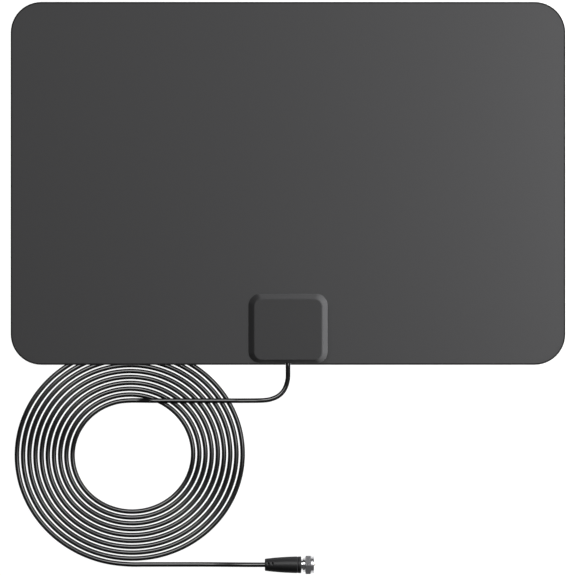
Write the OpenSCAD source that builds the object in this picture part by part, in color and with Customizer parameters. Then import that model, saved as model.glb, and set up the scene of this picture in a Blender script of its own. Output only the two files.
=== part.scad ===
// Flat indoor aerial: a laminated sheet with foil arms inside, a housing clamped over the middle
// of its lower edge, a coiled coaxial cord and a screw-on aerial connector. It lies face up.
// Millimetres. +Z is up, and the origin is on the table under the middle of the sheet.

/* [Sheet] */
// Width of the laminated sheet
panel_w = 335; // [320:1:360]
// Length of the sheet from its lower to its upper edge
panel_l = 219.2; // [205:0.2:240]
// Radius of the sheet's corners
panel_r = 18.5; // [10:0.5:25]
// Width of the rear film's bare rim round the front film
rim_w = 0.85; // [0.5:0.05:2]
// Thickness of the rear film
back_film_t = 0.4; // [0.3:0.05:0.6]
// Thickness of the front film
front_film_t = 0.3; // [0.2:0.05:0.5]

/* [Foil arms] */
// Thickness of the aluminium foil, which lies in a pocket of the rear film
foil_t = 0.1; // [0.05:0.01:0.15]
// Distance from the foil to the sheet's edges
foil_edge = 16; // [10:1:24]
// Gap between the two arms at the cord side
foil_gap = 10; // [6:1:14]
// Length of the foil's inner edge that leans away from the middle
foil_lean = 25; // [10:1:40]
// Number of slots cut into each arm from its outer end
slot_n = 3; // [1:1:5]
// Width of a slot
slot_w = 6; // [3:0.5:9]
// Distance from the middle of the sheet to the closed end of the slots
slot_start = 62; // [50:1:90]

/* [Housing] */
// Width of the housing
box_w = 47.8; // [44:0.1:56]
// Length of the housing along the cord's direction
box_l = 41.9; // [39:0.1:50]
// Corner radius of the housing
box_r = 7; // [4:0.25:8]
// Corner radius of the housing's front face
face_r = 5; // [3:0.25:6]
// Distance from the sheet's lower edge to the housing
box_gap = 1; // [0.5:0.05:2]
// Height of the front housing above the sheet
front_h = 7.6; // [7:0.1:10]
// Height of the front housing's upright skirt below its bevel
skirt_h = 5; // [3:0.1:5.5]
// Width of the bevel along the two sides
bevel_side = 3.2; // [2:0.1:4]
// Width of the bevel along the upper edge
bevel_far = 2.85; // [1.5:0.05:4]
// Width of the bevel along the edge where the cord leaves
bevel_near = 1.9; // [1:0.1:3]
// Thickness of the rear housing behind the sheet
back_h = 3; // [2.6:0.1:4]
// Chamfer round the rear housing's outer face
back_chamfer = 0.6; // [0.3:0.1:1]
// Wall thickness of the front housing
wall = 1.6; // [1.2:0.1:2]
// Width of the rounding between bevel and face
edge_round = 0.6; // [0.3:0.05:0.9]
// Depth of the rear housing's pocket for the rivet heads
pocket_d = 1.2; // [0.8:0.1:1.4]
// Clearance round the rivet heads in their pocket
pocket_clear = 0.6; // [0.4:0.1:0.8]
// Width that the crimp ferrule's rib adds on each side of its trough
rib_side = 2; // [1.5:0.1:3]

/* [Screws] */
// Distance from the housing's side to the screws
screw_in_x = 6.2; // [5.8:0.1:7]
// Distance from the housing's upper and lower edge to the screws
screw_in_y = 5.4; // [5:0.1:7]
// Radius of a screw's thread
screw_r = 0.9; // [0.7:0.05:1.1]
// Radius of a screw's head
screw_head_r = 1.8; // [1.6:0.05:2]
// Height of a screw's head
screw_head_h = 1; // [0.8:0.1:1.2]
// Length of a screw under its head
screw_l = 6; // [4:0.5:7]
// Depth of the screw heads below the rear housing's outer face
screw_sink = 0.3; // [0.1:0.05:0.5]
// Radius of the bosses that the screws bite into
boss_r = 2.4; // [2:0.1:2.6]

/* [Circuit board] */
// Width of the circuit board
board_w = 27; // [24:0.5:28]
// Length of the circuit board
board_l = 22; // [18:0.5:23]
// Thickness of the circuit board
board_t = 1.2; // [0.8:0.1:1.6]
// Distance from the cord's inner insulation to the circuit board
board_gap = 1.5; // [1:0.1:2]
// Distance from the middle to each contact rivet
rivet_x = 9; // [8:0.25:10]
// Distance from the board's upper edge to the contact rivets
rivet_in = 4; // [3:0.25:5]
// Radius of a contact rivet's shank
rivet_r = 1; // [0.8:0.05:1.3]
// Radius of a contact rivet's heads
rivet_head_r = 2; // [1.6:0.1:2.4]
// Thickness of a contact rivet's heads
rivet_head_t = 0.4; // [0.3:0.05:0.6]
// Length of the ferrite core
core_l = 6; // [5:0.25:7]
// Height of the ferrite core
core_h = 3.6; // [3:0.1:4]
// Radius of the holes in the ferrite core
core_bore_r = 0.9; // [0.75:0.05:1.1]
// Distance between the holes in the ferrite core
core_pitch = 3.2; // [2.8:0.1:3.6]
// Radius of the winding wire
winding_r = 0.3; // [0.2:0.05:0.35]
// Length of a chip capacitor
chip_l = 2; // [1.6:0.1:2.4]
// Width of a chip capacitor
chip_w = 1.25; // [0.8:0.05:1.6]
// Height of a chip capacitor
chip_h = 0.8; // [0.5:0.05:1.2]
// Distance between neighbouring chip capacitors
chip_pitch = 4; // [3:0.25:5]
// Distance from the board's lower edge to the chip capacitors
chip_in = 4.5; // [4:0.25:5]

/* [Cord] */
// Diameter of the coaxial cord
cord_d = 2.8; // [2.6:0.05:3]
// Clearance round the cord in its outlet and in its ferrule
cord_fit = 0.05; // [0.02:0.01:0.1]
// Wall thickness of the crimp ferrule on the cord
ferrule_wall = 0.5; // [0.3:0.05:0.6]
// Length of the crimp ferrule
ferrule_l = 4.6; // [4:0.1:6]
// Radius of the bared braid
braid_r = 1; // [0.8:0.05:1.1]
// Length of jacket between the ferrule and the bared braid
jacket_over = 1; // [0.5:0.1:1.5]
// Length of the bared braid
braid_l = 2.5; // [1.5:0.1:3]
// Radius of the inner insulation
core_r = 0.75; // [0.6:0.05:0.8]
// Length of bared inner insulation
core_bare_l = 1.5; // [1:0.1:2]
// Radius of the inner conductor
wire_r = 0.25; // [0.2:0.01:0.3]
// Distance that the inner conductor reaches onto the board
wire_reach = 2; // [1:0.25:3]

/* [Coil] */
// Sideways distance from the middle of the sheet to the middle of the coil
coil_x = 94.7; // [90:0.1:98]
// Distance from the sheet's lower edge to the middle of the coil
coil_y = 54.27; // [54:0.01:60]
// Sideways radius of the coil where it starts, to the cord's middle
coil_rx = 34.6; // [33:0.05:36]
// Upright radius of the coil where it starts, to the cord's middle
coil_ry = 32.72; // [31:0.01:34]
// Growth of the sideways radius with each turn
coil_px = 3.735; // [3.5:0.005:3.9]
// Growth of the upright radius with each turn
coil_py = 3.545; // [3.4:0.005:3.6]
// Number of turns, which end at the bottom of the coil
coil_turns = 9.5; // [7.5:1:9.5]

/* [Connector] */
// Distance from the middle of the sheet to the boot's cord end
boot_x = 14; // [10:0.5:18]
// Length of the boot
boot_l = 22; // [20:0.5:26]
// Radius of the boot's cord end
boot_rear_r = 3.65; // [3.2:0.05:4]
// Radius of the boot's nut end
boot_front_r = 5.05; // [4.8:0.05:5.4]
// Width of the chamfer at the boot's two ends
boot_soft = 0.35; // [0.2:0.05:0.5]
// Depth of the boot's bore for the connector body, from its nut end
boot_bore_l = 13; // [10:0.5:15]
// Length of a dimple across the boot
dimple_l = 1.7; // [1.2:0.1:2.4]
// Width of a dimple
dimple_w = 1.1; // [0.8:0.1:1.4]
// Depth of a dimple
dimple_d = 0.6; // [0.3:0.05:1]
// Distance from the boot's cord end to the first dimple
dimple_in = 2.2; // [1.8:0.1:3]
// Distance between the dimples
dimple_pitch = 2.4; // [2:0.1:3]
// Radius of the connector body's sleeve
sleeve_r = 3.4; // [3.3:0.05:3.6]
// Radius of the connector body's keying ring inside the boot
key_r = 3.9; // [3.7:0.05:4.1]
// Distance from the sleeve's inner end to its keying ring
key_in = 4; // [2:0.25:6]
// Length of the keying ring
key_l = 2; // [1:0.25:3]
// Radius of the collar between boot and nut
collar_r = 4.35; // [4:0.05:4.7]
// Length of the neck that shows between boot and collar
neck_l = 0.95; // [0.6:0.05:1.4]
// Length of the collar
collar_l = 1.3; // [1:0.1:1.8]
// Outer radius of the post's tube inside the body
post_r = 2.9; // [2.8:0.02:3]
// Bore radius of the post, which holds the insulator
post_bore_r = 2.3; // [2.1:0.05:2.5]
// Radius of the journal that the nut turns on
journal_r = 3.2; // [3.1:0.02:3.3]
// Radius of the flange that holds the nut on
flange_r = 4; // [3.8:0.05:4.1]
// Thickness of the flange
flange_t = 0.75; // [0.6:0.05:1]
// Radius of the centre pin's free end
pin_r = 0.45; // [0.3:0.05:0.5]
// Radius of the centre pin inside the insulator
pin_root_r = 0.8; // [0.6:0.05:1]
// Length of the centre pin in front of the insulator
pin_out = 4.4; // [3.5:0.1:6]

/* [Coupling nut] */
// Width across the nut's flats
nut_af = 11.1; // [11:0.1:12]
// Length of the hexagon
hex_l = 3.6; // [3:0.1:5]
// Length of the round collar in front of the hexagon
ring_l = 1.75; // [1.2:0.05:3]
// Radius of the round collar in front of the hexagon
ring_r = 5.1; // [5:0.05:5.3]
// Radius of the nut's bore at the crests of its thread
thread_r = 4.4; // [4.3:0.05:4.5]
// Thickness of the nut's web, which turns on the journal
web_t = 1; // [0.8:0.1:1.4]
// Radial clearance between web and journal
nut_fit = 0.05; // [0.02:0.01:0.08]
// End play of the web between collar and flange, on each side
nut_play = 0.1; // [0.05:0.01:0.2]
// Depth of the chamfer at the hexagon's corners
nut_chamfer = 0.45; // [0.2:0.05:0.6]
// Height of the nut's lowest corner above the table
nut_lift = 0.05; // [0.02:0.01:0.5]

/* [Hidden] */
$fn = 64;

// Overlap that a cutter runs past the face it opens
eps = 0.5;
// Sides of the cord's tube, points on each turn of the coil's outline, steps of a corner and of the boot
cord_sides = 8;
coil_steps = 72;
corner_steps = 8;
boot_steps = 10;

// Heights
film_z = back_h;
foil_z = film_z + back_film_t - foil_t;
front_z = film_z + back_film_t;
sheet_z = front_z + front_film_t;
roof_z = sheet_z + front_h;
board_top = sheet_z + board_t;
outlet_z = film_z + (back_film_t + front_film_t) / 2;
cord_r = cord_d / 2;
over_z = cord_d + cord_r;

// Places along Y
edge_y = -panel_l / 2;
box_y = edge_y + box_gap + box_l / 2;
box_near_y = box_y - box_l / 2;
box_far_y = box_y + box_l / 2;
ferrule_y = box_near_y + wall;
jacket_y = ferrule_y + ferrule_l + jacket_over;
braid_y = jacket_y + braid_l;
wire_y = braid_y + core_bare_l;
board_near_y = wire_y + board_gap;
board_y = board_near_y + board_l / 2;
rivet_y = board_near_y + board_l - rivet_in;
wire_clear = 0.1;
bend_y = board_near_y - wire_r - wire_clear;

// Screws, rivets and the cable's end
screw_x = box_w / 2 - screw_in_x;
screw_ys = [box_near_y + screw_in_y, box_far_y - screw_in_y];
screw_seat = screw_sink + screw_head_h;
screw_tip = screw_seat + screw_l;
screw_clear = 0.15;
tip_gap = 0.3;
boss_clear = 0.2;
ferrule_r = cord_r + cord_fit + ferrule_wall;
notch_clear = 0.4;
notch_over = 0.3;
notch_r = ferrule_r + notch_clear;
notch_top = board_near_y + notch_over;
wire_z = board_top + wire_r;

// Connector, with stations measured along its axis from the boot's cord end
conn_y = edge_y - coil_y - coil_ry - coil_py * coil_turns;
conn_z = nut_af / 2 / cos(30) + nut_lift;
body_x = boot_l - boot_bore_l;
collar_x = boot_l + neck_l;
journal_x = collar_x + collar_l;
web_x = journal_x + nut_play;
flange_x = web_x + web_t + nut_play;
post_end = flange_x + flange_t;
hex_end = web_x + hex_l;
nut_end = hex_end + ring_l;
pin_end = post_end + pin_out;

// Cord from the box to the coil: [sideways, away from the sheet's edge, height]
lead_route = [
    [0, edge_y - jacket_y, outlet_z], [0, -3, outlet_z], [0, 2, outlet_z], [0, 4, outlet_z - 0.5],
    [0, 6.5, 2.1], [-0.6, 10.7, 1.5], [-1.8, 14.3, 1.5], [-4.2, 17.5, 1.5], [-7.9, 20, 1.5],
    [-11.8, 21.15, 1.5], [-15.4, 21.55, 1.6], [-20, 21.65, 1.9], [-25, 21.65, 3.1],
    [-31, 21.65, over_z], [-38, 21.65, over_z], [-46, 21.65, over_z], [-54, 21.65, over_z],
    [-62, 21.65, over_z], [-70, 21.65, over_z], [-78, 21.65, over_z], [-86, 21.65, over_z],
    [-94, 21.65, over_z]];
// Cord from the coil to the boot: [sideways from the boot's cord end, height]
tail_route = [[-80.7, cord_r], [-73, cord_r], [-65, cord_r], [-57, cord_r], [-50, cord_r],
    [-43, cord_r], [-37, 1.5], [-31, 2.1], [-25, 3.2], [-19, 4.5], [-13, 5.6], [-7, 6.3],
    [-3, conn_z], [0, conn_z]];

// Flat shapes

module rounded_rect(w, l, r) {
    square([w - 2 * r, l], center = true);
    square([w, l - 2 * r], center = true);
    for (x = [-1, 1], y = [-1, 1]) translate([x * (w / 2 - r), y * (l / 2 - r)]) circle(r);
}

// Slot from the sheet's lower edge that lets the cable's end lie level with the films. It hugs the
// cord up to the ferrule, and is wider from there on.
module cable_notch(z) {
    outlet_r = cord_r + cord_fit;
    translate([0, 0, z - eps]) linear_extrude(back_film_t + front_film_t + 2 * eps) {
        translate([0, notch_top - notch_r]) circle(notch_r);
        translate([-notch_r, ferrule_y - notch_clear])
            square([2 * notch_r, notch_top - notch_r - ferrule_y + notch_clear]);
        translate([-outlet_r, edge_y - eps]) square([2 * outlet_r, ferrule_y - edge_y + eps]);
    }
}

module boss_holes(r, z, h) {
    for (x = [-1, 1], y = screw_ys) translate([x * screw_x, y, z]) cylinder(r = r, h = h);
}

module rivet_holes(r, z, h) {
    for (x = [-1, 1]) translate([x * rivet_x, rivet_y, z]) cylinder(r = r, h = h);
}

// Sheet

module film(t, z, inset) {
    difference() {
        translate([0, 0, z]) linear_extrude(t)
            rounded_rect(panel_w - 2 * inset, panel_l - 2 * inset, panel_r - inset);
        cable_notch(z);
        boss_holes(boss_r + boss_clear, z - eps, t + 2 * eps);
        rivet_holes(rivet_r, z - eps, t + 2 * eps);
    }
}

// One arm: a broad foil leaf that narrows to the tab under its contact rivet
module foil_arm() {
    far_x = panel_w / 2 - foil_edge;
    far_y = panel_l / 2 - foil_edge;
    tab = 1.5 * rivet_head_r;
    slot_gap = 2 * far_y / (slot_n + 1);
    difference() {
        polygon([[rivet_x - tab, rivet_y - tab], [rivet_x + tab, rivet_y - tab],
            [box_w / 2 + tab, -far_y], [far_x, -far_y], [far_x, far_y],
            [foil_gap / 2 + foil_lean, far_y], [foil_gap / 2 + foil_lean / 4, rivet_y + 3 * tab],
            [foil_gap / 2, rivet_y + 1.6 * tab], [rivet_x - tab, rivet_y]]);
        for (i = [1 : slot_n]) translate([slot_start, i * slot_gap - far_y - slot_w / 2])
            square([far_x, slot_w]);
        translate([rivet_x, rivet_y]) circle(rivet_r);
        for (y = screw_ys) translate([screw_x, y]) circle(boss_r + 3 * boss_clear);
    }
}

module foil(side) {
    translate([0, 0, foil_z]) linear_extrude(foil_t) mirror([side < 0 ? 1 : 0, 0]) foil_arm();
}

module back_film() {
    color([0.03, 0.03, 0.03]) difference() {
        film(back_film_t, film_z, 0);
        translate([0, 0, foil_z]) linear_extrude(foil_t + eps) {
            foil_arm();
            mirror([1, 0]) foil_arm();
        }
    }
}

module front_film() {
    color([0.28, 0.28, 0.28]) film(front_film_t, front_z, rim_w);
}

module left_foil() {
    color("silver") foil(-1);
}

module right_foil() {
    color("silver") foil(1);
}

// Housing

// Slab with upright sides and round corners, chamfered round its lower face
module chamfered_slab(w, l, r, h, c) {
    translate([0, 0, c]) linear_extrude(h - c) rounded_rect(w, l, r);
    for (x = [-1, 1], y = [-1, 1]) translate([x * (w / 2 - r), y * (l / 2 - r), 0])
        cylinder(r1 = r - c, r2 = r, h = c);
    translate([0, l / 2 - r, 0]) rotate([90, 0, 0]) linear_extrude(l - 2 * r)
        polygon([[c - w / 2, 0], [w / 2 - c, 0], [w / 2, c], [-w / 2, c]]);
    translate([r - w / 2, 0, 0]) rotate([90, 0, 90]) linear_extrude(w - 2 * r)
        polygon([[c - l / 2, 0], [l / 2 - c, 0], [l / 2, c], [-l / 2, c]]);
}

module housing_back() {
    pocket_w = 2 * (rivet_x + rivet_head_r + pocket_clear);
    pocket_l = 2 * (rivet_head_r + pocket_clear);
    color([0.1, 0.1, 0.1]) difference() {
        translate([0, box_y, 0]) chamfered_slab(box_w, box_l, box_r, back_h, back_chamfer);
        translate([-pocket_w / 2, rivet_y - pocket_l / 2, back_h - pocket_d])
            cube([pocket_w, pocket_l, pocket_d + eps]);
        cable_bed();
        boss_holes(screw_r + screw_clear, -eps, back_h + 2 * eps);
        boss_holes(screw_head_r + screw_clear, -eps, eps + screw_seat);
    }
}

// Round trough for the cord, wider where the ferrule lies in it
module cable_bed() {
    translate([0, box_near_y - eps, outlet_z]) rotate([-90, 0, 0])
        cylinder(r = cord_r + cord_fit, h = notch_top - box_near_y);
    translate([0, ferrule_y, outlet_z]) rotate([-90, 0, 0])
        cylinder(r = ferrule_r + cord_fit, h = ferrule_l + cord_fit);
}

// Points round a rounded rectangle at one height
function box_ring(w, l, r, y, z) =
    [for (q = [0 : 3], k = [0 : corner_steps])
        let (a = 90 * (q + k / corner_steps), sx = (q == 0 || q == 3) ? 1 : -1, sy = q < 2 ? 1 : -1)
        [sx * (w / 2 - r) + r * cos(a), y + sy * (l / 2 - r) + r * sin(a), z]];

// Ring at one height of the front housing, where share is how far the bevel has closed in
function form_ring(inset, z, share) = box_ring(box_w - 2 * inset - 2 * bevel_side * share,
    box_l - 2 * inset - (bevel_far + bevel_near) * share, box_r - inset + (face_r - box_r) * share,
    box_y + (bevel_near - bevel_far) / 2 * share, sheet_z + z);

// Closed solid through a stack of rings with equally many points
module loft(rings) {
    n = len(rings);
    s = len(rings[0]);
    walls = [for (i = [0 : n - 2], k = [0 : s - 1], half = [0, 1])
        let (a = i * s + k, b = i * s + (k + 1) % s)
        half == 0 ? [a, a + s, b + s] : [a, b + s, b]];
    polyhedron(points = [for (r = rings) each r], faces = concat([[for (k = [0 : s - 1]) k]],
        [[for (k = [s - 1 : -1 : 0]) (n - 1) * s + k]], walls));
}

// Skirt, bevel and face of the front housing. Parabolas round the skirt into the bevel and, twice
// as broad, the bevel into the face.
module front_form() {
    bevel_h = front_h - skirt_h;
    soft = edge_round / bevel_side;
    loft(concat([form_ring(0, 0, 0)],
        [for (k = [0 : 2]) let (t = k / 2)
            form_ring(0, skirt_h + bevel_h * soft * (t - 0.5), soft * t * t / 2)],
        [for (k = [0 : 4]) let (t = k / 4)
            form_ring(0, front_h - bevel_h * soft * (1 - t) * (1 - t), 1 + soft * (2 * t - 1))]));
}

// Space inside the front housing
module front_hollow() {
    loft([for (s = [[-eps, 0], [skirt_h, 0], [front_h - wall, 1]]) form_ring(wall, s[0], s[1])]);
}

module housing_front() {
    rib_w = 2 * (notch_r + rib_side);
    rib_y = box_near_y + wall / 2;
    color([0.24, 0.24, 0.24]) difference() {
        union() {
            difference() {
                front_form();
                front_hollow();
            }
            boss_holes(boss_r, film_z, roof_z - wall / 2 - film_z);
            translate([-rib_w / 2, 0, sheet_z]) rotate([90, 0, 90]) linear_extrude(rib_w)
                polygon([[rib_y, 0], [rib_y + ferrule_l, 0], [rib_y + ferrule_l, front_h - wall / 2],
                    [rib_y + bevel_near, front_h - wall / 2], [rib_y, skirt_h]]);
        }
        cable_bed();
        boss_holes(screw_r, film_z - eps, screw_tip + tip_gap - film_z + eps);
    }
}

module housing_screws() {
    color("dimgray") for (x = [-1, 1], y = screw_ys) translate([x * screw_x, y, screw_sink])
        difference() {
            union() {
                cylinder(r = screw_head_r, h = screw_head_h);
                cylinder(r = screw_r, h = screw_head_h + screw_l);
            }
            for (a = [0, 90]) rotate(a) cube([2 * screw_r, screw_r / 3, screw_head_h], center = true);
        }
}

// Circuit board and what it carries

module circuit_board() {
    color([0.05, 0.3, 0.15]) difference() {
        translate([-board_w / 2, board_near_y, sheet_z]) cube([board_w, board_l, board_t]);
        rivet_holes(rivet_r, sheet_z - eps, board_t + 2 * eps);
    }
}

module contact_rivets() {
    color("gold") {
        rivet_holes(rivet_r, film_z, board_top - film_z);
        rivet_holes(rivet_head_r, film_z - rivet_head_t, rivet_head_t);
        rivet_holes(rivet_head_r, board_top, rivet_head_t);
    }
}

module balun_core() {
    color([0.15, 0.15, 0.16]) translate([0, board_y, board_top]) difference() {
        union() {
            translate([-core_pitch / 2, -core_l / 2, 0]) cube([core_pitch, core_l, core_h]);
            for (x = [-1, 1]) translate([x * core_pitch / 2, 0, core_h / 2])
                rotate([90, 0, 0]) cylinder(d = core_h, h = core_l, center = true);
        }
        for (x = [-1, 1]) translate([x * core_pitch / 2, 0, core_h / 2])
            rotate([90, 0, 0]) cylinder(r = core_bore_r, h = core_l + 2 * eps, center = true);
    }
}

// One closed loop of wire through both holes of the core
module winding_loop() {
    for (x = [-1, 1]) translate([x * core_pitch / 2, 0, 0])
        rotate([90, 0, 0]) cylinder(r = winding_r, h = core_l, center = true);
    for (y = [0, 1]) mirror([0, y]) translate([0, core_l / 2, 0])
        rotate_extrude(angle = 180) translate([core_pitch / 2, 0]) circle(winding_r);
}

module balun_windings() {
    spread = (core_bore_r - winding_r) * 0.9;
    color([0.7, 0.35, 0.15]) for (z = [-1, 1])
        translate([0, board_y, board_top + core_h / 2 + z * spread]) winding_loop();
}

module chip_capacitors() {
    color([0.6, 0.5, 0.35]) for (i = [-1 : 1])
        translate([i * chip_pitch - chip_l / 2, board_near_y + chip_in, board_top])
            cube([chip_l, chip_w, chip_h]);
}

// The cord's end inside the housing

module along_y(y, r, l) {
    translate([0, y, outlet_z]) rotate([-90, 0, 0]) cylinder(r = r, h = l);
}

module cable_ferrule() {
    color("silver") difference() {
        along_y(ferrule_y, ferrule_r, ferrule_l);
        along_y(ferrule_y - eps, cord_r + cord_fit, ferrule_l + 2 * eps);
    }
}

module cable_braid() {
    color([0.72, 0.45, 0.3]) along_y(jacket_y, braid_r, braid_l);
}

module cable_insulation() {
    color("white") along_y(braid_y, core_r, core_bare_l);
}

// Bare wire that rises past the board's edge and lies on its face
module cable_conductor() {
    color([0.72, 0.45, 0.3]) {
        along_y(wire_y, wire_r, bend_y - wire_y);
        translate([0, bend_y, outlet_z]) sphere(wire_r);
        translate([0, bend_y, outlet_z]) cylinder(r = wire_r, h = wire_z - outlet_z);
        translate([0, bend_y, wire_z]) sphere(wire_r);
        translate([0, bend_y, wire_z]) rotate([-90, 0, 0]) cylinder(r = wire_r, h = wire_reach);
    }
}

// Cord

function unit(v) = v / norm(v);
function heading(path, i) = unit(path[min(i + 1, len(path) - 1)] - path[max(i - 1, 0)]);
function ring(centre, dir) =
    let (side = unit(cross(dir, [0, 0, 1])), down = cross(dir, side))
    [for (k = [0 : cord_sides - 1])
        let (a = 360 * k / cord_sides) centre + cord_r * (cos(a) * side + sin(a) * down)];

// Tube with one ring of points at each place on the path
module swept_tube(path) {
    loft([for (i = [0 : len(path) - 1]) ring(path[i], heading(path, i))]);
}

module cord_lead() {
    color([0.02, 0.02, 0.02])
        swept_tube([for (p = lead_route) [p[0], edge_y - p[1], p[2]]]);
}

module cord_tail() {
    color([0.02, 0.02, 0.02])
        swept_tube([for (p = tail_route) [p[0] - boot_x, conn_y, p[1]]]);
}

// Point on the edge of the spiral, a distance out from the cord's middle line
function coil_point(turn, out) =
    [-(coil_rx + coil_px * turn + out) * sin(360 * turn),
    (coil_ry + coil_py * turn + out) * cos(360 * turn)];

module coil_outline(first, out) {
    polygon([for (i = [0 : coil_steps]) coil_point(first + i / coil_steps, out)]);
}

module cord_coil() {
    color([0.02, 0.02, 0.02]) translate([-coil_x, edge_y - coil_y, 0]) linear_extrude(cord_d)
        difference() {
            coil_outline(coil_turns - 1, cord_r);
            coil_outline(0, -cord_r);
        }
}

// Connector

module on_axis() {
    translate([-boot_x, conn_y, conn_z]) rotate([0, 90, 0]) children();
}

// Solid of revolution between two stations on the axis
module disc(x, end, r) {
    translate([0, 0, x]) cylinder(r = r, h = end - x);
}

// Radius of the boot at a share of its length, swelling fastest near the cord
function boot_r(t) = boot_rear_r + (boot_front_r - boot_rear_r) * (1 - (1 - t) * (1 - t));

module boot_profile() {
    run = (boot_l - 2 * boot_soft) / boot_steps;
    polygon(concat([[0, 0], [boot_rear_r - boot_soft, 0], [boot_rear_r, boot_soft]],
        [for (i = [1 : boot_steps]) [boot_r(i / boot_steps), boot_soft + i * run]],
        [[boot_front_r - boot_soft, boot_l], [0, boot_l]]));
}

module dimple() {
    straight = (dimple_l - dimple_w) / 2;
    for (y = [-straight, straight]) translate([0, y]) circle(dimple_w / 2);
    square([dimple_w, 2 * straight], center = true);
}

module connector_boot() {
    color([0.1, 0.1, 0.1]) difference() {
        on_axis() rotate_extrude() boot_profile();
        on_axis() body_solid();
        for (i = [0, 1], side = [0, 180]) {
            x = dimple_in + i * dimple_pitch;
            translate([x - boot_x, conn_y, conn_z]) rotate([side, 0, 0])
                translate([0, 0, boot_r(x / boot_l) - dimple_d]) linear_extrude(2 * dimple_d) dimple();
        }
    }
}

// Body without its bore: sleeve, keying ring and collar
module body_solid() {
    disc(body_x, collar_x, sleeve_r);
    disc(body_x + key_in, body_x + key_in + key_l, key_r);
    disc(collar_x, journal_x, collar_r);
}

module connector_body() {
    color("silver") on_axis() difference() {
        body_solid();
        disc(body_x - eps, journal_x + eps, post_r);
    }
}

module connector_post() {
    color("silver") on_axis() difference() {
        union() {
            disc(body_x, journal_x, post_r);
            disc(journal_x, flange_x, journal_r);
            disc(flange_x, post_end, flange_r);
        }
        disc(body_x - eps, post_end + eps, post_bore_r);
    }
}

module connector_insulator() {
    color("white") on_axis() difference() {
        disc(body_x, post_end, post_bore_r);
        disc(body_x - eps, post_end + eps, pin_root_r);
    }
}

module centre_pin() {
    color([0.8, 0.6, 0.35]) on_axis() {
        disc(body_x, post_end, pin_root_r);
        disc(post_end, pin_end - pin_r, pin_r);
        translate([0, 0, pin_end - pin_r]) cylinder(r1 = pin_r, r2 = pin_r / 3, h = pin_r);
    }
}

// Hexagon with its corners turned off at both ends
module chamfered_hex() {
    corner = nut_af / 2 / cos(30);
    round_r = corner - 2 * nut_chamfer;
    intersection() {
        translate([0, 0, web_x]) cylinder(r = corner, h = hex_l, $fn = 6);
        rotate_extrude() polygon([[0, web_x], [round_r, web_x], [corner, web_x + nut_chamfer],
            [corner, hex_end - nut_chamfer], [round_r, hex_end], [0, hex_end]]);
    }
}

module coupling_nut() {
    color("silver") on_axis() difference() {
        union() {
            chamfered_hex();
            disc(web_x, nut_end, ring_r);
        }
        disc(web_x - eps, nut_end + eps, journal_r + nut_fit);
        disc(web_x + web_t, nut_end + eps, thread_r);
    }
}

back_film();
front_film();
left_foil();
right_foil();
housing_back();
housing_front();
housing_screws();
circuit_board();
contact_rivets();
balun_core();
balun_windings();
chip_capacitors();
cable_ferrule();
cable_braid();
cable_insulation();
cable_conductor();
cord_lead();
cord_coil();
cord_tail();
connector_boot();
connector_body();
connector_post();
connector_insulator();
centre_pin();
coupling_nut();
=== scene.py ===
import math

import bpy
import numpy as np
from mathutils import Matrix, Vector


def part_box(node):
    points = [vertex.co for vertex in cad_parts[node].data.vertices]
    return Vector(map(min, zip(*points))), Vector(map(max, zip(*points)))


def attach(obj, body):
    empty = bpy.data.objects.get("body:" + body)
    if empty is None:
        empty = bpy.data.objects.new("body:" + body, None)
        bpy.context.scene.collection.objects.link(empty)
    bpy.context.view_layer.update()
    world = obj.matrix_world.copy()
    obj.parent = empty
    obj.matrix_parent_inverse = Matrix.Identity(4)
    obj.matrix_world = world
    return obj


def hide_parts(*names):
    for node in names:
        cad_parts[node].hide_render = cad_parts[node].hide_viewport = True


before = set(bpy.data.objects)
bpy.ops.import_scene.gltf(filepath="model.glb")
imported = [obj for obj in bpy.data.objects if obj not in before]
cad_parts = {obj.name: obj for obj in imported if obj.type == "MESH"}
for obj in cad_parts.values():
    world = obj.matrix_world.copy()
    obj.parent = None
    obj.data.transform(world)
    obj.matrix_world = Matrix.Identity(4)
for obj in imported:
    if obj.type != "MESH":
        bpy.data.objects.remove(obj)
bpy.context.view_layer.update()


# Camera
# The antenna is seen from straight above, as it lies on the table. The picture's middle falls
# below the sheet's middle, because the coil and the connector lie beyond the sheet's near edge.
view_centre_y = -0.0632
view_width = 0.34826
camera_height = 4.0
camera_data = bpy.data.cameras.new("camera")
camera_data.lens = camera_data.sensor_width * camera_height / view_width
camera_data.clip_start, camera_data.clip_end = 0.05, 10.0
camera = bpy.data.objects.new("camera", camera_data)
camera.location = (0.0, view_centre_y, camera_height)
bpy.context.collection.objects.link(camera)
bpy.context.scene.camera = camera


# Cord
# Thin black coaxial cable with an extruded glossy jacket. It leaves the housing at the sheet's
# near edge, bends to the left, climbs over the coil and runs into the coil's innermost turn.
# Nine and a half loose turns lie side by side on the table, and the last one leads to the boot.
cord_d = 0.0028
cord_sides = 16
path_step = 0.0014
on_table = cord_d / 2
on_turns = cord_d * 1.5
jacket_over = 0.001
edge_y = float(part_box("back_film")[0].y)
boot_low, boot_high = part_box("connector_boot")
boot_centre = (boot_low + boot_high) / 2
outlet_z = float((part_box("back_film")[0].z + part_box("front_film")[1].z) / 2)
jacket_y = float(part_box("cable_ferrule")[1].y) + jacket_over
coil_centre = np.array([-0.0947, edge_y - 0.05427])
# Half-axes of the coil where it starts, and what each turn adds to them
coil_radii = np.array([0.0346, 0.03272])
coil_growth = np.array([0.003735, 0.003545])
coil_turns = 9.5
turn_steps = 24

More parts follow.
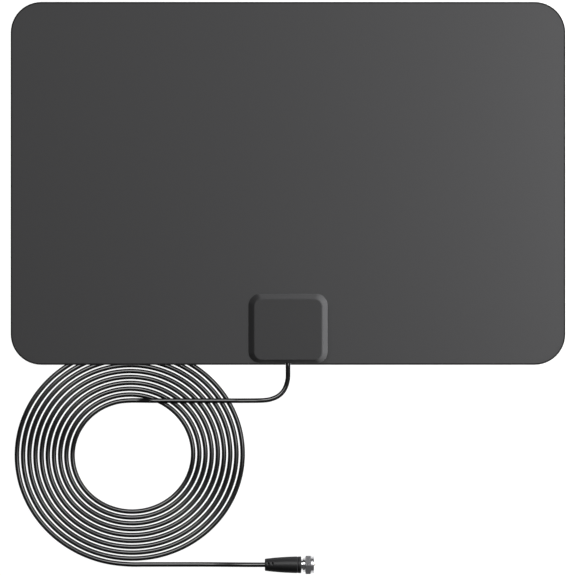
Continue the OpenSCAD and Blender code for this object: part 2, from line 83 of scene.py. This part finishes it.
# From the housing to the coil: sideways, away from the sheet's edge, height
lead_route = [
    (0, edge_y - jacket_y, outlet_z), (0, -0.003, outlet_z), (0, 0.002, outlet_z),
    (0, 0.004, outlet_z - 0.0005), (0, 0.0065, 0.0021), (-0.0001, 0.0082, 0.0017),
    (-0.00055, 0.0106, 0.0015), (-0.0013, 0.01305, 0.0014), (-0.0025, 0.01545, 0.0014),
    (-0.0044, 0.0177, 0.0014), (-0.00697, 0.0195, 0.0014), (-0.0094, 0.0205, 0.0014),
    (-0.0118, 0.02115, 0.0014), (-0.0142, 0.02145, 0.0015), (-0.017, 0.0216, 0.0016),
    (-0.0205, 0.02165, 0.0020), (-0.0255, 0.02165, 0.0032), (-0.031, 0.02165, on_turns),
    (-0.038, 0.02165, on_turns), (-0.046, 0.02165, on_turns), (-0.054, 0.02165, on_turns),
    (-0.062, 0.02165, on_turns), (-0.070, 0.02165, on_turns), (-0.078, 0.02165, on_turns),
    (-0.082, 0.02162, 0.0039), (-0.086, 0.02158, 0.0029), (-0.090, 0.02155, 0.0019)]
# From the coil to the boot: sideways from the boot's cord end, height
tail_route = [
    (-0.073, on_table), (-0.065, on_table), (-0.057, on_table), (-0.050, on_table),
    (-0.043, on_table), (-0.037, 0.0015), (-0.031, 0.0021), (-0.025, 0.0032),
    (-0.019, 0.0045), (-0.013, 0.0056), (-0.007, 0.0063), (-0.003, boot_centre.z),
    (0.0, boot_centre.z)]


def coil_points(first, last, steps):
    """Points of the coil: an ellipse from its top leftwards, whose half-axes grow evenly with the turns."""
    turn = np.linspace(first, last, steps)
    radii = coil_radii + coil_growth * turn[:, None]
    return np.column_stack([coil_centre[0] - radii[:, 0] * np.sin(2 * np.pi * turn),
                            coil_centre[1] + radii[:, 1] * np.cos(2 * np.pi * turn),
                            np.full(steps, on_table)])


def smooth_path(points, step):
    """Curve through the points: cubic pieces whose slopes at a point come from its two neighbours."""
    points = np.asarray(points, float)
    knots = np.concatenate([[0.0], np.cumsum(np.linalg.norm(np.diff(points, axis=0), axis=1))])
    slopes = np.gradient(points, knots, axis=0)
    at = np.linspace(0.0, knots[-1], int(knots[-1] / step) + 1)
    i = np.clip(np.searchsorted(knots, at, side="right") - 1, 0, len(knots) - 2)
    span = (knots[i + 1] - knots[i])[:, None]
    t = (at - knots[i])[:, None] / span
    return ((2 * t**3 - 3 * t**2 + 1) * points[i] + (t**3 - 2 * t**2 + t) * span * slopes[i]
            + (3 * t**2 - 2 * t**3) * points[i + 1] + (t**3 - t**2) * span * slopes[i + 1])


def grid_faces(rows, columns, endless):
    """Four-sided faces between neighbouring rings of points.

    Where endless is true, the last ring is joined to the first as well."""
    row, column = np.meshgrid(np.arange(rows - (not endless)), np.arange(columns), indexing="ij")
    next_row, next_column = (row + 1) % rows * columns, (column + 1) % columns
    row = row * columns
    return np.stack([row + column, row + next_column, next_row + next_column, next_row + column],
                    axis=-1).reshape(-1, 4)


def surface(name, rings, endless=False, crease=40):
    """Mesh over rings of points, in an array of rings by points in a ring by 3.

    An endless surface runs from its last ring back to its first, and any other has a flat cap
    at each end. Neighbouring faces that meet under the crease angle in degrees shade smoothly."""
    count, sides = rings.shape[:2]
    faces = grid_faces(count, sides, endless).tolist()
    if not endless:
        faces += [list(range(sides))[::-1], list(range((count - 1) * sides, count * sides))]
    mesh = bpy.data.meshes.new(name)
    mesh.from_pydata(rings.reshape(-1, 3).tolist(), [], faces)
    mesh.polygons.foreach_set("use_smooth", np.ones(len(mesh.polygons), bool))
    mesh.set_sharp_from_angle(angle=math.radians(crease))
    piece = bpy.data.objects.new(name, mesh)
    bpy.context.collection.objects.link(piece)
    return piece


def tube_rings(path, radius, sides):
    """Rings round a path: centre + radius (cos a side - sin a up), side level and up square to both."""
    forward = np.gradient(path, axis=0)
    forward /= np.linalg.norm(forward, axis=1)[:, None]
    side = np.cross(forward, (0.0, 0.0, 1.0))
    side /= np.linalg.norm(side, axis=1)[:, None]
    up = np.cross(side, forward)
    angle = np.linspace(0, 2 * np.pi, sides, endpoint=False)[None, :, None]
    return path[:, None] + radius * (np.cos(angle) * side[:, None] - np.sin(angle) * up[:, None])


lead = [(x, edge_y - away, z) for x, away, z in lead_route]
tail = [(boot_low.x + x, boot_centre.y, z) for x, z in tail_route]
coil = coil_points(0.0, coil_turns, int(coil_turns * turn_steps) + 1)
cord_path = smooth_path(lead + coil.tolist() + tail, path_step)
cord_path[:, 2] = np.maximum(cord_path[:, 2], on_table)
cord = surface("cord", tube_rings(cord_path, cord_d / 2, cord_sides))


def surface_grain():
    """Node group for the small unevenness of moulded, rolled and plated surfaces.

    Two noises on Object coordinates, fine over coarse. Value is 1 + Mottle (coarse - 1/2) and
    Roughness is its own value + Spread (coarse - 1/2). Normal comes from the fine noise as a bump."""
    group = bpy.data.node_groups.new("surface grain", "ShaderNodeTree")
    sockets = group.interface
    for socket, value in (("Fine scale", 2500.0), ("Coarse scale", 60.0), ("Coarse detail", 4.0),
                          ("Depth", 0.00002), ("Roughness", 0.4), ("Spread", 0.1), ("Mottle", 0.1)):
        sockets.new_socket(socket, in_out="INPUT", socket_type="NodeSocketFloat").default_value = value
    for socket in ("Value", "Roughness"):
        sockets.new_socket(socket, in_out="OUTPUT", socket_type="NodeSocketFloat")
    sockets.new_socket("Normal", in_out="OUTPUT", socket_type="NodeSocketVector")
    nodes, links = group.nodes, group.links
    given, result = nodes.new("NodeGroupInput"), nodes.new("NodeGroupOutput")
    place = nodes.new("ShaderNodeTexCoord")
    fine, coarse = nodes.new("ShaderNodeTexNoise"), nodes.new("ShaderNodeTexNoise")
    for noise, scale in ((fine, "Fine scale"), (coarse, "Coarse scale")):
        links.new(place.outputs["Object"], noise.inputs["Vector"])
        links.new(given.outputs[scale], noise.inputs["Scale"])
    links.new(given.outputs["Coarse detail"], coarse.inputs["Detail"])
    shift = nodes.new("ShaderNodeMath")
    shift.operation = "SUBTRACT"
    shift.inputs[1].default_value = 0.5
    links.new(coarse.outputs["Fac"], shift.inputs[0])
    value, roughness = nodes.new("ShaderNodeMath"), nodes.new("ShaderNodeMath")
    value.inputs[2].default_value = 1.0
    links.new(given.outputs["Roughness"], roughness.inputs[2])
    for scaled, amount, output in ((value, "Mottle", "Value"), (roughness, "Spread", "Roughness")):
        scaled.operation = "MULTIPLY_ADD"
        links.new(shift.outputs[0], scaled.inputs[0])
        links.new(given.outputs[amount], scaled.inputs[1])
        links.new(scaled.outputs[0], result.inputs[output])
    bump = nodes.new("ShaderNodeBump")
    links.new(given.outputs["Depth"], bump.inputs["Distance"])
    links.new(fine.outputs["Fac"], bump.inputs["Height"])
    links.new(bump.outputs["Normal"], result.inputs["Normal"])
    return group


def new_material(name):
    """Material with its node tree's nodes and links and its main shader."""
    material = bpy.data.materials.new(name)
    material.use_nodes = True
    tree = material.node_tree
    return material, tree.nodes, tree.links, tree.nodes["Principled BSDF"]


def grained_material(name, colour, grain):
    """Material of one colour, whose tone and roughness come from the grain group with its own values."""
    material, nodes, links, shader = new_material(name)
    group = nodes.new("ShaderNodeGroup")
    group.name = "grain"
    group.node_tree = grain_group
    for socket, value in grain.items():
        group.inputs[socket].default_value = value
    tone = nodes.new("ShaderNodeVectorMath")
    tone.operation = "SCALE"
    tone.inputs[0].default_value = colour
    links.new(group.outputs["Value"], tone.inputs["Scale"])
    links.new(tone.outputs["Vector"], shader.inputs["Base Color"])
    links.new(group.outputs["Roughness"], shader.inputs["Roughness"])
    return material


def plastic(name, colour, grain, specular=0.5, gloss=0.0, skin=0.05):
    """Moulded plastic of one colour, with the grain group's bump as well.

    Gloss is a clear outer skin that fades where the surface turns away from the eye, and skin is
    its roughness."""
    material = grained_material(name, colour, grain)
    nodes, links = material.node_tree.nodes, material.node_tree.links
    shader = nodes["Principled BSDF"]
    links.new(nodes["grain"].outputs["Normal"], shader.inputs["Normal"])
    shader.inputs["Specular IOR Level"].default_value = specular
    if gloss:
        facing, fade = nodes.new("ShaderNodeLayerWeight"), nodes.new("ShaderNodeMapRange")
        for socket, value in (("From Min", skin_fade[0]), ("From Max", skin_fade[1]),
                              ("To Min", gloss), ("To Max", 0.0)):
            fade.inputs[socket].default_value = value
        links.new(facing.outputs["Facing"], fade.inputs["Value"])
        links.new(fade.outputs["Result"], shader.inputs["Coat Weight"])
        shader.inputs["Coat IOR"].default_value = skin_ior
        shader.inputs["Coat Roughness"].default_value = skin
    return material


grain_group = surface_grain()
skin_fade = (0.04, 0.16)
skin_ior = 1.85
jacket = plastic("cord jacket", (0.003, 0.003, 0.0031),
                 {"Fine scale": 900.0, "Coarse scale": 35.0, "Depth": 0.000008,
                  "Roughness": 0.5, "Spread": 0.05, "Mottle": 0.2}, specular=0.0, gloss=1.0)
cord.data.materials.append(jacket)
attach(cord, "antenna")
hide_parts("cord_lead", "cord_coil", "cord_tail")


# Table
# A plain white surface under everything, which runs past the picture's edges.
# It keeps a soft shadow, and looks white to the camera and in reflections.
floor_half = 3.0
floor_tone, floor_roughness = 0.16, 0.9
floor_glow = 0.81
floor_mesh = bpy.data.meshes.new("floor")
floor_mesh.from_pydata([(-floor_half, -floor_half, 0), (floor_half, -floor_half, 0),
                        (floor_half, floor_half, 0), (-floor_half, floor_half, 0)], [], [(0, 1, 2, 3)])
floor = bpy.data.objects.new("floor", floor_mesh)
bpy.context.collection.objects.link(floor)
floor_material, nodes, links, shader = new_material("table")
shader.inputs["Base Color"].default_value = (floor_tone, floor_tone, floor_tone, 1)
shader.inputs["Roughness"].default_value = floor_roughness
shader.inputs["Specular IOR Level"].default_value = 0.0
shader.inputs["Emission Color"].default_value = (1, 1, 1, 1)
paths = nodes.new("ShaderNodeLightPath")
seen = paths.outputs["Is Camera Ray"]
for ray in ("Is Glossy Ray", "Is Transmission Ray"):
    either = nodes.new("ShaderNodeMath")
    either.operation = "MAXIMUM"
    links.new(seen, either.inputs[0])
    links.new(paths.outputs[ray], either.inputs[1])
    seen = either.outputs[0]
glow = nodes.new("ShaderNodeMath")
glow.operation = "MULTIPLY"
glow.inputs[1].default_value = floor_glow
links.new(seen, glow.inputs[0])
links.new(glow.outputs[0], shader.inputs["Emission Strength"])
floor_mesh.materials.append(floor_material)


# Light
# Two low lamps, on the right and beyond the sheet, light the sheet from edge to edge. They are only
# fills, so they throw no shadow and aren't mirrored. Of two broad lamps overhead, which draw the
# streaks along the cord, the far one throws the soft shadows. The room itself is an even dim grey.
room_strength = 0.10


def soft_lamp(name, place, size, power):
    """Square lamp at a place, turned to the middle of the picture."""
    data = bpy.data.lights.new(name, "AREA")
    data.shape = "SQUARE"
    data.size = size
    data.energy = power
    lamp = bpy.data.objects.new(name, data)
    lamp.location = place
    aim = np.array([0.0, view_centre_y, 0.0]) - np.array(place)
    lamp.rotation_euler = (math.atan2(math.hypot(aim[0], aim[1]), -aim[2]), 0.0,
                           math.atan2(aim[0], -aim[1]) + math.pi)
    bpy.context.collection.objects.link(lamp)
    return lamp


for fill in (soft_lamp("low right lamp", (0.80, 0.10, 0.125), 0.25, 60.0),
             soft_lamp("low far lamp", (-0.15, 0.80, 0.125), 0.25, 6.5)):
    fill.data.use_shadow = False
    fill.visible_glossy = False
soft_lamp("right lamp", (0.62, 0.20, 1.45), 0.8, 7.5).data.use_shadow = False
soft_lamp("far lamp", (-0.26, 0.52, 1.48), 0.92, 11.5)
world = bpy.data.worlds.new("room")
bpy.context.scene.world = world
world.use_nodes = True
room = world.node_tree.nodes["Background"]
room.inputs["Color"].default_value = (1, 1, 1, 1)
room.inputs["Strength"].default_value = room_strength
bpy.context.scene.view_settings.view_transform = "Standard"


# Sheet
# Two plastic films laminated over the foil: dark grey satin in front, black behind.
# The front film ends just short of the rear one, so a thin dark rim shows all round.
def dress(node, material):
    """Gives a carried-over CAD node its material."""
    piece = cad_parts[node]
    piece.data.materials.clear()
    piece.data.materials.append(material)


dress("front_film", plastic("front film", (0.0285, 0.0285, 0.0292),
                            {"Fine scale": 1800.0, "Coarse scale": 9.0, "Depth": 0.00003,
                             "Roughness": 0.50, "Spread": 0.04, "Mottle": 0.03}, specular=0.06))
dress("back_film", plastic("rear film", (0.006, 0.006, 0.006),
                           {"Fine scale": 1800.0, "Coarse scale": 12.0, "Depth": 0.00003,
                            "Roughness": 0.60, "Spread": 0.06, "Mottle": 0.05}, specular=0.03))


# Foil arms
# Two thin areas of rolled aluminium that receive the signal. They lie in pockets of the rear film,
# hidden by the front one, but keep their own finish.
def metal(name, colour, roughness, scale, spread, mottle=0.18):
    """Bare or plated metal, whose tone and roughness wander with the grain group's coarse noise."""
    grain = {"Coarse scale": scale, "Coarse detail": 3.0, "Roughness": roughness,
             "Spread": spread, "Mottle": mottle}
    material = grained_material(name, colour, grain)
    material.node_tree.nodes["Principled BSDF"].inputs["Metallic"].default_value = 1.0
    return material


foil_metal = metal("rolled foil", (0.80, 0.80, 0.82), 0.28, 300.0, 0.12)
dress("left_foil", foil_metal)
dress("right_foil", foil_metal)


# Front shell
# Injection moulded half of the housing in front of the sheet. It is hollow, with an upright skirt,
# a bevel of its own width on each side and a plain face. Screws from behind bite into four bosses.
sheet_z = float(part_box("front_film")[1].z)
box_low, box_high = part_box("housing_front")
skirt_h, bevel_side, bevel_far, bevel_near = 0.005, 0.0032, 0.00285, 0.0019
skirt_r, face_r, wall, edge_round = 0.007, 0.005, 0.0016, 0.0006
foot_chamfer, face_margins, corner_steps = 0.0001, (0.0003, 0.0008), 14
screw_in, boss_r, pilot_r, pilot_top, boss_sides = (0.0062, 0.0054), 0.0024, 0.0009, 0.0076, 48


def housing_rings(stations, steps):
    """Rounded rectangles for rows of inset, share and height above the sheet.

    The sides stand in by the inset, and by the bevel's widths times the share. Each corner is a quarter
    circle: its middle + radius (cos a, sin a), with a radius that changes evenly with the share."""
    inset, share, height = np.array(stations).T[:, :, None, None]
    radius = skirt_r - inset + (face_r - skirt_r) * share
    angle = (np.arange(4)[:, None] + np.linspace(0, 1, steps + 1)) * math.pi / 2
    right, upper = np.array([1, -1, -1, 1])[:, None], np.array([1, 1, 0, 0])[:, None]
    side = box_high.x - inset - bevel_side * share - radius
    far = box_high.y - inset - bevel_far * share - radius
    near = box_low.y + inset + bevel_near * share + radius
    x = right * side + radius * np.cos(angle)
    y = np.where(upper > 0, far, near) + radius * np.sin(angle)
    z = np.broadcast_to(sheet_z + height, x.shape)
    return np.stack([x, y, z], axis=-1).reshape(len(stations), -1, 3)


# From the roof inside, down the wall, round the foot, and up over the bevel's two rounded edges
bevel_h = float(box_high.z) - sheet_z - skirt_h
round_share = edge_round / bevel_side
roof_h = skirt_h + bevel_h - wall
low_turn, high_turn = np.linspace(0, 1, 5), np.linspace(0, 1, 9)
shell_rows = [(wall, 1, roof_h), (wall, 0, skirt_h), (wall, 0, 0),
              (foot_chamfer, 0, 0), (0, 0, foot_chamfer)]
shell_rows += np.column_stack([0 * low_turn, round_share * low_turn**2 / 2,
                               skirt_h + bevel_h * round_share * (low_turn - 0.5)]).tolist()
shell_rows += np.column_stack([0 * high_turn, 1 + round_share * (2 * high_turn - 1),
                               skirt_h + bevel_h * (1 - round_share * (1 - high_turn)**2)]).tolist()
shell_rows += [(margin, 1 + round_share, skirt_h + bevel_h) for margin in face_margins]
front_shell = surface("front_shell", housing_rings(shell_rows, corner_steps))
housing_plastic = plastic("housing plastic", (0.0225, 0.0225, 0.0231),
                          {"Fine scale": 1500.0, "Coarse scale": 40.0, "Depth": 0.00003,
                           "Roughness": 0.44, "Spread": 0.05, "Mottle": 0.04}, specular=0.1)
front_shell.data.materials.append(housing_plastic)
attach(front_shell, "antenna")
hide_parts("housing_front")


def turned(name, profile, middle, axis, sides, endless=True):
    """Surface of revolution: middle + station along the axis + radius (cos a, sin a) across it.

    The profile is rows of station and radius, outside forwards and inside backwards."""
    profile = np.asarray(profile, float)
    angle = np.linspace(0, 2 * np.pi, sides, endpoint=False)
    across = np.roll(np.eye(3), -axis - 1, axis=0)
    rings = (np.asarray(middle) + profile[:, 0, None, None] * across[2]
             + profile[:, 1, None, None] * (np.cos(angle)[:, None] * across[0]
                                            + np.sin(angle)[:, None] * across[1]))
    return surface(name, rings, endless)


boss_top = sheet_z + roof_h + wall / 2
boss_profile = [(box_low.z, boss_r), (boss_top, boss_r), (boss_top, pilot_r / 2), (pilot_top, pilot_r / 2),
                (pilot_top, pilot_r), (box_low.z, pilot_r)]
boss_places = [(side * (float(box_high.x) - screw_in[0]), y, 0.0) for side in (-1, 1)
               for y in (float(box_low.y) + screw_in[1], float(box_high.y) - screw_in[1])]
for number, place in enumerate(boss_places, 1):
    boss = turned("front_boss_%d" % number, boss_profile, place, 2, boss_sides)
    boss.data.materials.append(housing_plastic)
    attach(boss, "antenna")


# Rear shell and screws
# The flat moulded half of the housing behind the sheet, on which the antenna lies. Four plated
# screws in its counterbores pull the two halves together.
dress("housing_back", housing_plastic)
dress("housing_screws", metal("dark screw plating", (0.20, 0.20, 0.21), 0.35, 900.0, 0.10))


# Circuit board
# Glass fibre board under green solder mask, inside the front shell. Two brass rivets clamp it to
# the sheet and join it to the foil arms, and three ceramic chip capacitors are soldered to it.
board_mask = plastic("solder mask", (0.01, 0.085, 0.035),
                     {"Fine scale": 1200.0, "Coarse scale": 200.0, "Depth": 0.00001,
                      "Roughness": 0.3, "Spread": 0.08, "Mottle": 0.15})
fired_chip = plastic("fired ceramic", (0.36, 0.27, 0.16),
                     {"Fine scale": 4000.0, "Coarse scale": 600.0, "Depth": 0.00001,
                      "Roughness": 0.5, "Spread": 0.1, "Mottle": 0.2})
dress("circuit_board", board_mask)
dress("chip_capacitors", fired_chip)
dress("contact_rivets", metal("brass", (0.78, 0.60, 0.32), 0.25, 900.0, 0.12))


# Balun
# Sintered ferrite core with two holes, fixed to the board. Copper wire runs through both holes
# and matches the foil arms to the cord.
ferrite = plastic("sintered ferrite", (0.025, 0.024, 0.026),
                  {"Fine scale": 3000.0, "Coarse scale": 400.0, "Depth": 0.00003,
                   "Roughness": 0.6, "Spread": 0.1, "Mottle": 0.3})
copper = metal("copper wire", (0.72, 0.36, 0.22), 0.3, 1500.0, 0.16)
dress("balun_core", ferrite)
dress("balun_windings", copper)


# Cord's end in the housing
# The jacket is stripped off in steps, down to the braid, the white core and the conductor, which
# is soldered to the board. A crimped ferrule in the shell's rib stops the cord from being pulled out.
white_core = plastic("white core", (0.78, 0.78, 0.75),
                     {"Fine scale": 2000.0, "Coarse scale": 150.0, "Depth": 0.00001,
                      "Roughness": 0.35, "Spread": 0.06, "Mottle": 0.06})
dress("cable_ferrule", metal("crimped ferrule", (0.70, 0.70, 0.72), 0.3, 700.0, 0.16))
dress("cable_braid", copper)
dress("cable_insulation", white_core)
dress("cable_conductor", copper)


# Boot
# Soft black plastic moulded round the cord and the connector's sleeve. It swells towards the nut,
# has two oval dimples above and two below, and ends in a low rim behind a groove.
boot_l = float(boot_high.x - boot_low.x)
boot_rear_r, boot_front_r, boot_bore_l, boot_sides = 0.00365, 0.00505, 0.013, 240
rear_round, front_round = 0.0005, 0.0004
groove_in, groove_w, groove_d = 0.0199, 0.00022, 0.00022
dimple_places, dimple_turns = (0.0022, 0.0046), (np.radians(79), np.radians(259))
dimple_half_w, dimple_half_l, dimple_d, dimple_edge = 0.00065, 0.00095, 0.0015, 1.12
sleeve_r, key_r, key_in, key_l = 0.0034, 0.0039, 0.004, 0.002
axis_start = (float(boot_low.x), float(boot_centre.y), float(boot_centre.z))
# Start, end and step of the rings over the dimples, the plain stretch and the groove
dimple_stretch = (0.0007, 0.0064, 0.00009)
plain_stretch = (0.0068, 0.0190, 0.0005)
groove_stretch = (0.0192, 0.0208, 0.00008)


def boot_radius(station):
    """Rear radius + swell (1 - (1 - t)^2), less the end roundings and a groove with a Gaussian section."""
    t = station / boot_l
    rear = np.clip(1 - station / rear_round, 0, 1)
    front = np.clip(1 - (boot_l - station) / front_round, 0, 1)
    return (boot_rear_r + (boot_front_r - boot_rear_r) * (1 - (1 - t)**2)
            - rear_round * (1 - np.sqrt(1 - rear**2)) - front_round * (1 - np.sqrt(1 - front**2))
            - groove_d * np.exp(-((station - groove_in) / groove_w)**2))


def boot_rings(sides):
    """Boot surface: the radius at a station, less depth * (edge - reach) inside each dimple.

    The reach is the distance from a dimple's middle, counted along and round in its half sizes."""
    body_end = boot_l - boot_bore_l
    end_arc = 1 - np.cos(np.linspace(0, np.pi / 2, 7))
    outside = np.concatenate([rear_round * end_arc, np.arange(*dimple_stretch), np.arange(*plain_stretch),
                              np.arange(*groove_stretch), boot_l - front_round * end_arc[::-1]])
    angle = np.linspace(0, 2 * np.pi, sides, endpoint=False)
    radius = np.repeat(boot_radius(outside)[:, None], sides, axis=1)
    for place in dimple_places:
        for turn in dimple_turns:
            round_off = radius * (np.mod(angle - turn + np.pi, 2 * np.pi) - np.pi)
            reach = np.sqrt(((outside[:, None] - place) / dimple_half_w)**2
                            + (round_off / dimple_half_l)**2)
            radius = radius - dimple_d * np.clip(dimple_edge - reach, 0, 1)
    bore = np.array([(boot_l, sleeve_r), (body_end + key_in + key_l, sleeve_r),
                     (body_end + key_in + key_l, key_r), (body_end + key_in, key_r),
                     (body_end + key_in, sleeve_r), (body_end, sleeve_r)])
    station = np.concatenate([outside, bore[:, 0]])[:, None]
    radius = np.concatenate([radius, np.repeat(bore[:, 1:], sides, axis=1)])
    return np.stack([axis_start[0] + station + 0 * angle, axis_start[1] + radius * np.cos(angle),
                     axis_start[2] + radius * np.sin(angle)], axis=-1)


boot = surface("boot", boot_rings(boot_sides))
boot.data.materials.append(plastic("boot moulding", (0.009, 0.009, 0.0094),
                                   {"Fine scale": 1800.0, "Coarse scale": 90.0, "Depth": 0.00004,
                                    "Roughness": 0.5, "Spread": 0.06, "Mottle": 0.15},
                                   specular=0.05, gloss=0.25, skin=0.4))
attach(boot, "antenna")
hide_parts("connector_boot")


# Connector body
# Turned brass, nickel plated: a sleeve pushed into the boot, its keying ring and the collar behind
# the nut. The post inside it holds the insulator and the pin, and its flange keeps the nut on.
plating = metal("nickel plating", (0.66, 0.66, 0.67), 0.16, 900.0, 0.10)
post_r, collar_r, neck_l, collar_l, body_sides = 0.0029, 0.00435, 0.00095, 0.0013, 128
sharp_ease, end_ease, collar_ease, ease_steps = 0.00005, 0.0001, 0.0002, 5


def eased(profile, ease, steps):
    """Closed profile with each corner P turned into a curve: (1-t)^2 A + 2t(1-t) P + t^2 B, where A
    and B lie the ease away from P on its two sides."""
    corner = np.asarray(profile, float)[:, None]
    before, after = np.roll(corner, 1, axis=0) - corner, np.roll(corner, -1, axis=0) - corner
    ease = np.asarray(ease, float)[:, None, None]
    before = corner + before / np.linalg.norm(before, axis=2, keepdims=True) * ease
    after = corner + after / np.linalg.norm(after, axis=2, keepdims=True) * ease
    t = np.linspace(0, 1, steps)[None, :, None]
    return ((1 - t)**2 * before + 2 * t * (1 - t) * corner + t**2 * after).reshape(-1, 2)


sleeve_x, collar_x = boot_l - boot_bore_l, boot_l + neck_l
body_profile = [
    (sleeve_x, sleeve_r), (sleeve_x + key_in, sleeve_r), (sleeve_x + key_in, key_r),
    (sleeve_x + key_in + key_l, key_r), (sleeve_x + key_in + key_l, sleeve_r), (collar_x, sleeve_r),
    (collar_x, collar_r), (collar_x + collar_l, collar_r), (collar_x + collar_l, post_r),
    (sleeve_x, post_r)]
body_eases = [end_ease] + 4 * [sharp_ease] + [end_ease] + 2 * [collar_ease] + 2 * [sharp_ease]
body = turned("connector_sleeve", eased(body_profile, body_eases, ease_steps), axis_start, 0, body_sides)
body.data.materials.append(plating)
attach(body, "antenna")
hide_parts("connector_body")
dress("connector_post", plating)
dress("connector_insulator", white_core)
dress("centre_pin", metal("tinned pin", (0.72, 0.66, 0.56), 0.25, 900.0, 0.10))


# Coupling nut
# A nickel plated hexagon with its corners turned off at both ends, a round collar in front and a
# thread cut inside. Its web turns freely on the post, between the collar and the flange.
nut_clear, web_l, web_r, web_chamfer = 0.0001, 0.001, 0.00325, 0.00008
hex_l, nut_af, corner_cut, nut_sides = 0.0036, 0.0111, 0.00006, 360
turned_r, turned_slope, lip_r, lip_l = 0.0055, 0.5, 0.0001, 0.00003
ring_l, ring_r, ring_chamfer, ring_corner = 0.00175, 0.0051, 0.0002, 0.00006
thread_r, thread_depth, thread_pitch, thread_flank = 0.0044, 0.0003, 0.00079375, 1.15
mouth_r, mouth_l, thread_stop, thread_fade, thread_rows = 0.0003, 0.00025, 0.0002, 0.0006, 56
web_x = collar_x + collar_l + nut_clear


def nut_rings(sides):
    """Nut surface. The hexagon's radius is half the flats over cos of the angle from a flat's middle,
    the corner cones meet it where they reach that radius, and the thread's triangular groove
    follows station = pitch * turns."""
    angle = np.linspace(0, 2 * np.pi, sides, endpoint=False)
    flat = nut_af / 2 / np.cos(np.mod(angle + np.pi / 6, np.pi / 3) - np.pi / 6)
    flat = np.minimum(flat, nut_af / 2 / math.cos(math.pi / 6) - corner_cut)
    cone = np.clip(flat - turned_r, 0, None) * turned_slope
    hex_end, nut_end = web_x + hex_l, web_x + hex_l + ring_l
    groove_x = np.linspace(nut_end - mouth_l, web_x + web_l + thread_stop, thread_rows)[:, None]
    phase = np.mod(groove_x / thread_pitch - angle / (2 * np.pi), 1.0)
    fade = np.clip((groove_x - web_x - web_l) / thread_fade, 0, 1)
    cut = np.clip(thread_flank * (1 - np.abs(2 * phase - 1)), 0, 1) * fade
    outer = [(web_x, web_r + web_chamfer), (web_x, turned_r - lip_r), (web_x + lip_l, turned_r),
             (web_x + lip_l + cone, flat), (hex_end - lip_l - cone, flat), (hex_end - lip_l, turned_r),
             (hex_end, turned_r - lip_r), (hex_end, ring_r), (nut_end - ring_chamfer, ring_r),
             (nut_end - ring_corner, ring_r - ring_corner), (nut_end, ring_r - ring_chamfer),
             (nut_end, thread_r + mouth_r), (nut_end - mouth_l, thread_r)]
    inner = [(web_x + web_l, thread_r), (web_x + web_l, web_r), (web_x + web_chamfer, web_r)]
    station = np.concatenate([[row[0] + 0 * angle for row in outer], groove_x + 0 * angle,
                              [row[0] + 0 * angle for row in inner]])
    radius = np.concatenate([[row[1] + 0 * angle for row in outer], thread_r + thread_depth * cut,
                             [row[1] + 0 * angle for row in inner]])
    return np.stack([axis_start[0] + station, axis_start[1] + radius * np.cos(angle),
                     axis_start[2] + radius * np.sin(angle)], axis=-1)


nut = surface("hexagon_nut", nut_rings(nut_sides), endless=True, crease=20)
nut.data.materials.append(metal("nut plating", (0.62, 0.62, 0.64), 0.28, 300.0, 0.04, 0.04))
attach(nut, "nut")
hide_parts("coupling_nut")
